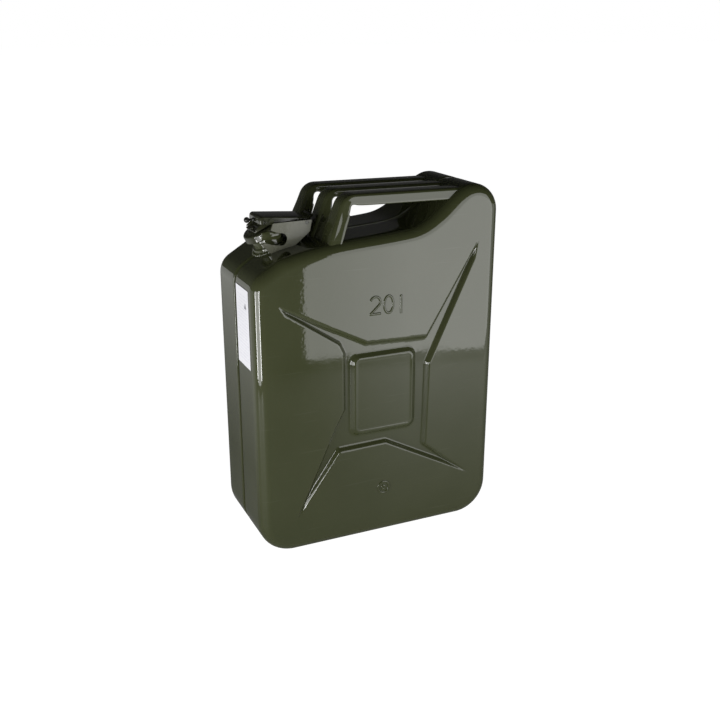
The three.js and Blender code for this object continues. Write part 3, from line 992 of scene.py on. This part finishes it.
def channel_profile(half: np.ndarray, deep: np.ndarray, sheet: float, corner: float,
                    roll: float = 0.0) -> np.ndarray:
    """Closed profile of a channel that opens downwards, for every path point.

    The outer line runs up one flange, round a corner, across and down the other flange, where
    it curls out by `roll`; the inner line comes back one sheet thickness inside it.

    Args:
        half: half width at each path point.
        deep: flange depth at each path point.
        sheet: sheet thickness.
        corner: outer corner radius.
        roll: how far the lower edge swells.

    Returns:
        n x m x 2 profile points.
    """
    a = np.radians(np.linspace(0.0, 90.0, 6))
    inner = max(corner - sheet, 0.3)
    half, deep = half[:, None], np.maximum(deep[:, None], corner + 0.2)
    one = np.ones_like(half)
    out_a = [half + roll * 0.6, half + roll, half + 0.2 * roll,
             *(half - corner + corner * math.cos(t) for t in a)]
    out_b = [-deep - roll, -deep + 0.1, -deep + 2.0 * roll + 0.3,
             *(-corner * one + corner * math.sin(t) for t in a)]
    in_a = [*(half - sheet - inner + inner * math.cos(t) for t in a[::-1]),
            half - sheet - 0.1 * roll, half - sheet]
    in_b = [*(-sheet - inner * one + inner * math.sin(t) for t in a[::-1]),
            -deep + 0.4, -deep - 0.6 * roll]
    right = np.stack([np.hstack(out_a), np.hstack(out_b)], -1)
    under = np.stack([np.hstack(in_a), np.hstack(in_b)], -1)
    flip = np.array([-1.0, 1.0])
    return np.concatenate([right, (right * flip)[:, ::-1], (under * flip)[:, ::-1], under],
                          axis=1)


@dataclass
class Handles(Enamelled):
    """Three pressed channel handles with leaning front legs.

    Attributes:
        pitch: centre to centre across the can.
        width: width of each channel.
        top: height of the bars at the bend.
        fall: how much the bars fall towards the rear.
        front: X of the legs' front face at the top.
        slope: how far the legs lean back, X over Z.
        foot: height at which the legs end, inside the skin.
        end: X at which the bars end, inside the hump.
        bend: radius of the bend.
        places: name, side and how far the legs stand behind the near one, for each handle.
        flare: how much the outer legs widen towards the foot on each side.
        flange: depth of the flanges, and how much more they have on the legs.
        thin: how much the flanges narrow at the bend, and over what distance; the middle and
            far ones narrow by the second pair too.
        sheet: sheet thickness, outer corner radius and swell of the lower edge.
    """

    pitch: float = 46.5
    width: float = 28.0
    top: float = 474.0
    fall: float = 2.0
    front: float = -44.0
    slope: float = 0.41
    foot: float = 411.0
    end: float = 127.0
    bend: float = 15.0
    places: tuple = (("near", -1.0, 0.0), ("middle", 0.0, -3.0), ("far", 1.0, -10.0))
    flare: float = 3.2
    flange: tuple = (13.2, 1.6)
    thin: tuple = (3.0, 14.0, 3.5, 24.0)
    sheet: tuple = (2.0, 4.2, 1.2)

    def route(self, shift: float) -> np.ndarray:
        """The outer face's line in X and Z: leg, rounded bend and bar.

        Args:
            shift: how far the leg stands behind the middle one.

        Returns:
            Points from the foot to the rear end.
        """
        rise = self.top - self.foot
        low = np.array([self.front + shift - self.slope * rise, self.foot])
        knee = np.array([self.front + shift, self.top])
        rear = np.array([self.end, self.top - self.fall])
        up = (knee - low) / np.linalg.norm(knee - low)
        back = (rear - knee) / np.linalg.norm(rear - knee)
        a, b = knee - up * self.bend, knee + back * self.bend
        curve = bezier([a, a + up * self.bend * 0.62, b - back * self.bend * 0.62, b], 16)
        return resampled(np.vstack([low, curve, rear]), 190, False)

    def build(self) -> list:
        """Sweeps the channel along the route, wider towards the foot of the outer legs.

        Returns:
            The three handles.
        """
        deep, more = self.flange
        thin, reach, thin_too, reach_too = self.thin
        made = []
        for name, place, shift in self.places:
            flat = self.route(shift)
            ups = at_y(left_of(tangents(flat)), 0.0)
            down = smooth((self.top - 14.0 - flat[:, 1]) / 46.0) * (flat[:, 0] < 0)
            flare = self.flare * abs(place) * down
            path = at_y(flat, place * (self.pitch + 0.9 * flare))
            away = np.hypot(flat[:, 0] - self.front - shift, flat[:, 1] - self.top)
            flange = (deep + more * (flat[:, 1] < self.top - 20)
                      - thin * np.exp(-(away / reach) ** 2))
            flange = flange - thin_too * (place >= 0) * np.exp(-(away / reach_too) ** 2)
            profile = channel_profile(self.width / 2 + flare, flange, *self.sheet)
            piece = swept(f"{name}_handle_bar", path, ups, profile, "can", turn=True)
            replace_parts(piece, f"{name}_handle")
            made.append(piece)
        return made



# ---- neck ----------------------------------------------------------------------------------

@dataclass
class Neck(Enamelled):
    """The pouring neck: tube, rolled mouth, foot ring and the weld at its foot.

    Attributes:
        frame: the neck's place.
        shells: the body that it stands on.
        radius: outer radius of the tube.
        wall: wall thickness.
        length: length of the tube.
        collar: outer radius of the foot ring.
        lip: the rolled mouth's middle (radius, height), half width and half height.
        around: points round the foot ring.
        ripples: points round its weld.
    """

    frame: NeckFrame
    shells: Shells
    radius: float = 20.0
    wall: float = 1.4
    length: float = 42.0
    collar: float = 23.0
    lip: tuple = (20.4, -1.4, 1.9, 1.3)
    around: int = 144
    ripples: int = 300

    def meets(self, radius: float, angle: np.ndarray) -> np.ndarray:
        """Height about the neck at which lines along its axis meet the can's skin.

        A point lies in the can where its distance inside the outline exceeds the inset that
        the rounded edge takes at its Y; the first such height from above is kept.

        Args:
            radius: distance of the lines from the axis.
            angle: direction of each line.

        Returns:
            The heights, negative below the mouth.
        """
        heights = np.linspace(-8.0, -50.0, 211)
        points = self.frame.put(about_axis(radius, angle[:, None], heights))
        inside = edge_distance(points[:, [0, 2]], self.shells.outline.points)
        reach = self.shells.depth / 2 - self.shells.edge
        over = np.clip(np.abs(points[:, 1]) - reach, 0.0, self.shells.edge)
        need = self.shells.edge - np.sqrt(self.shells.edge ** 2 - over ** 2)
        hit = (inside >= need).reshape(len(angle), len(heights))
        return heights[np.argmax(hit, axis=1)]

    def build(self) -> list:
        """Makes the tube, the rolled mouth, the foot ring and its weld.

        Returns:
            The four pieces.
        """
        bore, r = self.radius - self.wall, self.radius
        tube = turned("neck_wall", [(bore, -self.length), (r, -self.length), (r, -30), (r, -12),
                                    (r, -2.2), (bore, -2.2), (bore, -20)], self.frame, "can")
        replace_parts(tube, "neck_tube")
        mid_r, mid_z, wide, high = self.lip
        roll = [(mid_r + wide * math.cos(t), mid_z + high * math.sin(t)) for t in circle(14)]
        lip = turned("neck_rolled_mouth", roll, self.frame, "can")
        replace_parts(lip, "neck_lip")
        angle = circle(self.around)
        foot = self.meets(self.collar, angle)
        ease = np.array([(self.collar + 0.4, -1.5), (self.collar, 1.5), (self.collar, 5.0),
                         (self.collar - 0.5, 6.2), (self.collar - 2.0, 6.8), (r + 0.2, 6.8),
                         (r + 0.2, -1.5)])
        points = self.frame.put(about_axis(ease[:, None, 0], angle, ease[:, None, 1] + foot))
        faces = grid_faces(len(ease) + 1, self.around, True) % len(points)
        ring = mesh_piece("neck_foot_ring", points, [faces], "can")
        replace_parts(ring, "neck_collar")
        return [tube, lip, ring, self.bead()]

    def bead(self) -> bpy.types.Object:
        """The weld round the foot ring: overlapping ripples along the line where it meets.

        Returns:
            The weld.
        """
        angle = circle(self.ripples)
        foot = self.meets(self.collar + 1.0, angle)
        foot = (np.roll(foot, 1) + foot + np.roll(foot, -1)) / 3
        local = about_axis(self.collar + 0.6, angle, foot + 0.2)
        path = self.frame.put(local)
        out = unit(self.frame.put(local * [1.05, 1.05, 1.0]) - path)
        up = np.tile(self.frame.axes()[2], (self.ripples, 1))
        index = np.arange(self.ripples, dtype=float)
        size = 2.5 + 0.4 * np.sin(index * TAU / 7.5) + 0.35 * hashed(index)
        a = circle(12)
        profile = np.stack([size[:, None] * np.cos(a), 0.9 * size[:, None] * np.sin(a)], -1)
        return swept("neck_foot_weld", path, up, profile, "can", out, True)



# ---- closure -------------------------------------------------------------------------------

@dataclass
class Closure:
    """The lid, its clamping lever and the locking pin's knob.

    Attributes:
        frame: the neck's place.
        radius: outer radius of the lid.
        skirt: how far the skirt reaches below the mouth.
        nose: X of the lever's nose.
        top: height of the lever's top at the nose.
        reach: half width of the lever.
        lock: height of the locking pin.
        ear: Y of the ears' two faces.
        arm: Y of the yoke arms' two faces.
        cheek: Y of the cheeks' two faces.
        plate: half length, half thickness and half width of the yoke's plate.
    """

    frame: NeckFrame
    radius: float = 25.0
    skirt: float = 6.5
    nose: float = -142.6
    top: float = 447.2
    reach: float = 22.4
    lock: float = 440.9
    ear: tuple = (24.3, 26.1)
    arm: tuple = (17.2, 19.2)
    cheek: tuple = (26.8, 29.0)
    plate: tuple = (9.0, 1.0, 17.4)

    def lid(self) -> bpy.types.Object:
        """The lid's cap: a rolled skirt, a rounded flange and a flat dome, all turned.

        Returns:
            The cap.
        """
        r, low = self.radius, -self.skirt
        profile = [(0.01, 2.1), (23.4, 2.1), (23.5, low + 1.2), (23.9, low + 0.2),
                   (24.8, low), (25.5, low + 0.8), (25.2, low + 1.9), (r - 0.1, low + 2.6),
                   (r, 1.0), (r - 0.3, 2.2), (r - 1.2, 3.1), (r - 2.4, 3.5), (19.5, 3.7),
                   (18.4, 3.9), (17.2, 4.5), (16.0, 4.95), (14.5, 5.1), (0.01, 5.1)]
        cap = turned("lid_cap", profile, self.frame, "lid_unit", 128)
        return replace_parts(cap, "lid")

    def ears(self) -> list:
        """The lid's side ears: rounded plates that lie in the notches of the cheeks.

        Returns:
            The two ears, each a plate outline extruded with a rounded rim.
        """
        line = np.vstack([[[-143.0, 418.6]], arc(-121.6, 423.3, 4.7, -90, 90, 14),
                          [[-133.0, 429.6], [-142.5, 428.4]]])
        return [plate(f"{name}_ear", line, side, self.ear, "lid_unit", 0.5)
                for name, side in SIDES]

    def lever(self) -> bpy.types.Object:
        """The lever: a channel bent down into a nose in front and up into a tab behind.

        The flanges are full as far as the lever's middle, run out towards the rear, and the
        channel narrows into the tab.

        Returns:
            The lever.
        """
        n, t = self.nose, self.top
        line = np.vstack([[[n, 437.8]], arc(n + 4.6, t - 4.6, 4.6, 180, 92, 8),
                          [[-110.0, t - 1.9], [-80.0, t - 4.0]],
                          bezier([(-77.5, t - 4.2), (-73.0, t - 4.6), (-71.5, t - 3.8),
                                  (-69.6, t - 2.2)], 8)])
        flat = resampled(line, 150, False)
        ups = at_y(left_of(tangents(flat)), 0.0)
        x = flat[:, 0]
        deep = 2.4 + 7.2 * (1 - smooth((x + 103) / 14)) * smooth((x - n + 1.0) / 3.0)
        half = self.reach - 8.5 * smooth((x + 80) / 10)
        dish = channel_profile(half, deep, 1.6, 2.1, 0.3)
        piece = swept("lever_channel", at_y(flat, 0.0), ups, dish, "lever_unit", turn=True)
        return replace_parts(piece, "lever")

    def yoke(self) -> list:
        """The yoke: two arms beside the lever's flanges and a plate riveted on the lid.

        Returns:
            The arms and the plate.
        """
        line = np.array([[-147.0, 427.6], [-129.4, 436.4], [-119.0, 437.6], [-96.0, 435.0],
                         [-88.0, 433.2], [-83.0, 432.9], [-78.6, 435.0], [-78.4, 439.0],
                         [-82.0, 441.4], [-120.0, 444.6], [-134.0, 443.0], [-147.6, 431.0]])
        made = [plate(f"{name}_yoke_arm", line, side, self.arm, "lid_unit", 0.4)
                for name, side in SIDES]
        rear, _, up = self.frame.axes()
        middle = np.asarray(self.frame.mouth) - 4.0 * rear + 6.3 * up
        long, thick, wide = self.plate
        path = middle + np.linspace(-wide, wide, 12)[:, None] * [0.0, 1.0, 0.0]
        a = circle(40)
        bow = np.stack([long * np.sign(np.cos(a)) * np.abs(np.cos(a)) ** 0.25,
                        thick * np.sign(np.sin(a)) * np.abs(np.sin(a)) ** 0.5], 1)
        made.append(swept("yoke_plate", path, np.tile(up, (12, 1)), np.tile(bow, (12, 1, 1)),
                          "lid_unit", np.tile(rear, (12, 1)), turn=True))
        for piece in made:
            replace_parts(piece, "lid_yoke")
        return made

    def cheeks(self) -> list:
        """The bracket's cheeks: plates with a round-ended notch open to the front.

        Returns:
            The two cheeks.
        """
        notch = arc(-117.5, 418.6, 8.4, 76, -104, 16)
        line = np.vstack([[[-127.5, 439.0], [-130.5, 431.0], [-122.0, 427.6]], notch,
                          [[-131.0, 412.6], [-140.0, 415.4], [-142.5, 413.4],
                           [-130.5, 401.0], [-126.0, 397.0], [-107.0, 397.0],
                           [-106.5, 404.0], [-89.0, 418.5], [-79.6, 426.0],
                           [-76.8, 440.0]]])
        return [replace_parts(notched(f"{name}_cheek_plate", line[::-1], side, self.cheek, "can",
                                    0.45), f"{name}_cheek") for name, side in SIDES]

    def knob(self) -> bpy.types.Object:
        """The locking pin: a shank, a neck and a round knob turned about X.

        Returns:
            The pin.
        """
        ball = [(3.7 * math.sin(a), -10.2 - 3.7 * math.cos(a))
                for a in np.linspace(0.03, 2.6, 14)]
        line = np.array([*ball, (1.5, -6.4), (1.7, -2.6), (2.6, -2.2), (2.6, -0.6),
                         (1.6, -0.4), (1.6, 5.0), (0.01, 5.0)])
        a = circle(40)
        shape = (len(line), len(a))
        points = np.stack([np.broadcast_to(self.nose + line[:, 1:], shape),
                           line[:, :1] * np.cos(a), self.lock + line[:, :1] * np.sin(a)], -1)
        faces = grid_faces(len(line), len(a), True)
        piece = mesh_piece("locking_knob", points.reshape(-1, 3), [faces], "locking_pin")
        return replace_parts(piece, "lock_pin")

    def build(self) -> list:
        """Makes the moving pieces.

        Returns:
            (piece, look) pairs.
        """
        # The lid, yoke and lever take the enamel darkened as painted shade; the cheeks take
        # satin enamel lightened as painted light.
        made = [(self.lid(), Look.ENAMEL_PAINTED_SHADE)]
        made += [(ear, Look.ENAMEL) for ear in self.ears()]
        made += [(piece, Look.ENAMEL_PAINTED_SHADE) for piece in self.yoke()]
        made += [(cheek, Look.ENAMEL_SATIN_PAINTED_LIGHT) for cheek in self.cheeks()]
        made += [(self.lever(), Look.ENAMEL_PAINTED_SHADE), (self.knob(), Look.BLACK)]
        return made

    def dress(self, pieces: list, paint: Paint) -> None:
        """Paints the closure.

        Args:
            pieces: what build returned.
            paint: the materials.
        """
        for piece, look in pieces:
            paint.dress(piece, look)


def rims(flat: np.ndarray, inner: np.ndarray, side: float, faces_y: tuple,
         edge: float) -> np.ndarray:
    """The four rings of a flat plate: its rim drawn in, full, full and drawn in again.

    Args:
        flat: the plate's outline in X and Z.
        inner: the outline drawn in.
        side: -1 for the near side, 1 for the far side.
        faces_y: distance of the plate's two faces from the seam plane.
        edge: how far the rims are softened.

    Returns:
        4 n x 3 points.
    """
    low, high = sorted(side * y for y in faces_y)
    return np.vstack([at_y(inner, low), at_y(flat, low + edge), at_y(flat, high - edge),
                      at_y(inner, high)])


def plate(name: str, line: np.ndarray, side: float, faces_y: tuple, body: str,
          edge: float) -> bpy.types.Object:
    """A flat plate with softened rims, from an outline in X and Z.

    Args:
        name: name of the piece.
        line: outline corners in order.
        side: -1 for the near side, 1 for the far side.
        faces_y: distance of the plate's two faces from the seam plane.
        body: carrying body.
        edge: how far the rims are softened, towards the outline's middle.

    Returns:
        The plate: four rings, and a fan on each face about the outline's middle.
    """
    count = 96
    flat = resampled(line, count, True)
    middle = flat.mean(0, keepdims=True)
    away = flat - middle
    inner = middle + away * (1 - edge / np.linalg.norm(away, axis=1))[:, None]
    low, high = sorted(side * y for y in faces_y)
    points = np.vstack([rims(flat, inner, side, faces_y, edge), at_y(middle, low),
                        at_y(middle, high)])
    faces = [grid_faces(4, count, True), cap_faces(0, count, 4 * count, True),
             cap_faces(3 * count, count, 4 * count + 1, False)]
    return mesh_piece(name, points, faces, body)


def notched(name: str, line: np.ndarray, side: float, faces_y: tuple, body: str,
            edge: float) -> bpy.types.Object:
    """A flat plate with softened rims, from an outline that may turn inwards.

    Args:
        name: name of the piece.
        line: outline corners in order, in X and Z.
        side: -1 for the near side, 1 for the far side.
        faces_y: distance of the plate's two faces from the seam plane.
        body: carrying body.
        edge: how far the rims are softened, at right angles to the outline.

    Returns:
        The plate: four rings, and one many-cornered face on each side.
    """
    count = 220
    flat = resampled(line, count, True)
    inner = flat + edge * left_of(tangents(flat, True))
    ring = np.arange(count)
    faces = [grid_faces(4, count, True, True), ring[None], (3 * count + ring)[None, ::-1]]
    return mesh_piece(name, rims(flat, inner, side, faces_y, edge), faces, body)


# ---- CAD nodes that are shown as they are --------------------------------------------------

# The leg webs, brace, pins and rivets take the enamel darkened as painted shade.
KEPT = {
    "near_leg_web": Look.ENAMEL_PAINTED_SHADE, "far_leg_web": Look.ENAMEL_PAINTED_SHADE,
    "cheek_brace": Look.ENAMEL_PAINTED_SHADE, "hinge_pin": Look.ENAMEL_PAINTED_SHADE,
    "front_rivet": Look.ENAMEL_PAINTED_SHADE, "rear_rivet": Look.ENAMEL_PAINTED_SHADE,
    "lever_pin": Look.ENAMEL_PAINTED_SHADE, "lid_gasket": Look.RUBBER, "breather_tube": Look.STEEL,
    "label": Look.PAPER,
}

# The hinge pin is bare steel in the record, though enamel has run over it.
SLOTS = {"hinge_pin": "bare_steel"}


# ---- studio --------------------------------------------------------------------------------

@dataclass
class Studio:
    """Pale floor, soft lights and the camera.

    Attributes:
        eye: camera place in millimetres.
        yaw: turn to the right of +Y, in degrees.
        pitch: tilt below the horizon, in degrees.
        lens: focal length for a 36 mm sensor.
        floor_half: half the floor's side in metres.
        floor_gap: how far the floor lies below the base, in metres.
        panels: name, place, point faced, size (all in metres) and watts of each light.
    """

    eye: tuple = (-510.2, -1136.3, 672.3)
    yaw: float = 24.314
    pitch: float = 19.447
    lens: float = 47.55
    floor_half: float = 30.0
    floor_gap: float = 0.0006
    panels: tuple = (
        ("front_panel", (0.50, -0.667, 0.36), (0.365, -0.014, 0.36), (0.72, 0.68), 3.7),
        ("left_panel", (-0.66, -0.42, 0.20), (-0.16, -0.06, 0.24), (0.44, 0.36), 2.2),
        ("left_strip", (-0.78, -0.25, 0.20), (-0.16, -0.06, 0.24), (0.05, 0.36), 1.2),
        ("front_strip", (-0.54, -0.58, 0.20), (-0.16, -0.06, 0.24), (0.05, 0.36), 1.2),
    )

    def camera(self) -> None:
        """Places the camera."""
        data = bpy.data.cameras.new("camera")
        data.lens = self.lens
        data.sensor_width = 36.0
        data.clip_start = 0.05
        data.clip_end = 60.0
        eye = bpy.data.objects.new("camera", data)
        bpy.context.scene.collection.objects.link(eye)
        y, p = math.radians(self.yaw), math.radians(self.pitch)
        look = Vector((math.sin(y) * math.cos(p), math.cos(y) * math.cos(p), -math.sin(p)))
        eye.location = Vector(self.eye) * MM
        eye.rotation_mode = "QUATERNION"
        eye.rotation_quaternion = look.to_track_quat("-Z", "Y")
        bpy.context.scene.camera = eye

    def floor(self) -> None:
        """Lays a wide pale floor."""
        size = self.floor_half
        mesh = bpy.data.meshes.new("floor")
        mesh.from_pydata([(-size, -size, 0), (size, -size, 0), (size, size, 0),
                          (-size, size, 0)], [], [(0, 1, 2, 3)])
        plane = bpy.data.objects.new("floor", mesh)
        plane.location.z = -self.floor_gap
        bpy.context.scene.collection.objects.link(plane)
        material = bpy.data.materials.new("floor")
        material.use_nodes = True
        nodes = Nodes(material.node_tree)
        body = nodes.tree.nodes["Principled BSDF"]
        body.inputs["Roughness"].default_value = 0.6
        body.inputs["Base Color"].default_value = (0.22, 0.22, 0.22, 1.0)
        mirrored = nodes.add("ShaderNodeLightPath").outputs["Is Glossy Ray"]
        nodes.link(nodes.mix(mirrored, (0.98, 0.98, 0.98), self.sheen(nodes)),
                   body.inputs["Emission Color"])
        body.inputs["Emission Strength"].default_value = 1.0
        mesh.materials.append(material)

    def sheen(self, nodes: Nodes) -> object:
        """Brightness of the floor in reflections, darker than the floor itself.

        It rises towards +X along lines that fan out from a point behind the can, rises with
        the distance in front of it, and rises again far out towards -X.

        Args:
            nodes: the floor's nodes.

        Returns:
            The brightness socket.
        """
        x, y, _ = nodes.split(nodes.add("ShaderNodeTexCoord").outputs["Object"])
        fan = nodes.math("DIVIDE", nodes.math("ADD", x, 0.51), nodes.math("SUBTRACT", 0.986, y))
        front = nodes.math("MULTIPLY", nodes.ramp(fan, 0.40, 0.52),
                           nodes.ramp(y, -0.1, -0.7, (0.0, 0.8)))
        left = nodes.math("MULTIPLY", nodes.ramp(x, -0.25, -0.6, (0.0, 0.5)),
                          nodes.ramp(y, -0.1, 0.2))
        return nodes.math("ADD", nodes.math("MAXIMUM", front, left), 0.07)

    def panel(self, name: str, at: tuple, to: tuple, size: tuple, watts: float) -> None:
        """Adds a soft panel light.

        Args:
            name: its name.
            at: place in metres.
            to: point that it faces.
            size: width and height.
            watts: power.
        """
        data = bpy.data.lights.new(name, "AREA")
        data.shape = "RECTANGLE"
        data.size, data.size_y = size
        data.energy = watts
        lamp = bpy.data.objects.new(name, data)
        lamp.location = at
        lamp.visible_camera = False
        aim = Vector(to) - Vector(at)
        lamp.rotation_mode = "QUATERNION"
        lamp.rotation_quaternion = aim.to_track_quat("-Z", "Y")
        bpy.context.scene.collection.objects.link(lamp)

    def world(self) -> None:
        """A world white to the eye, pale low down and dark overhead, and dim in reflections."""
        world = bpy.data.worlds.new("world")
        world.use_nodes = True
        world.cycles.sampling_method = "NONE"
        nodes = Nodes(world.node_tree)
        back = nodes.tree.nodes["Background"]
        path = nodes.add("ShaderNodeLightPath")
        z = nodes.split(nodes.add("ShaderNodeTexCoord").outputs["Generated"])[2]
        rise = nodes.ramp(z, 0.0, 0.6, (0.9, 0.03))
        dim = nodes.math("MULTIPLY_ADD", path.outputs["Is Glossy Ray"], -0.93, 1.0)
        seen = nodes.math("MAXIMUM", nodes.math("MULTIPLY", rise, dim),
                          path.outputs["Is Camera Ray"])
        nodes.link(seen, back.inputs["Strength"])
        back.inputs["Color"].default_value = (1.0, 1.0, 1.0, 1.0)
        bpy.context.scene.world = world

    def build(self) -> None:
        """Puts up the whole studio."""
        self.camera()
        self.floor()
        self.world()
        for name, at, to, size, watts in self.panels:
            self.panel(name, at, to, size, watts)
        bpy.context.scene.view_settings.view_transform = "Standard"
        LOG.info("studio is up")


def main() -> None:
    """Builds the can, dresses every piece and puts up the studio."""
    logging.basicConfig(level=logging.INFO, format="%(name)s: %(message)s")
    paint = Paint()
    neck_frame = NeckFrame()
    shells = Shells(Outline(), neck_frame)
    for part in (shells, Marks(), Handles(), Neck(neck_frame, shells), Closure(neck_frame)):
        part.dress(part.build(), paint)
    for node, look in KEPT.items():
        paint.dress(frame["nodes"][node], look, SLOTS.get(node))
    Studio().build()


if __name__ == "__main__":
    main()
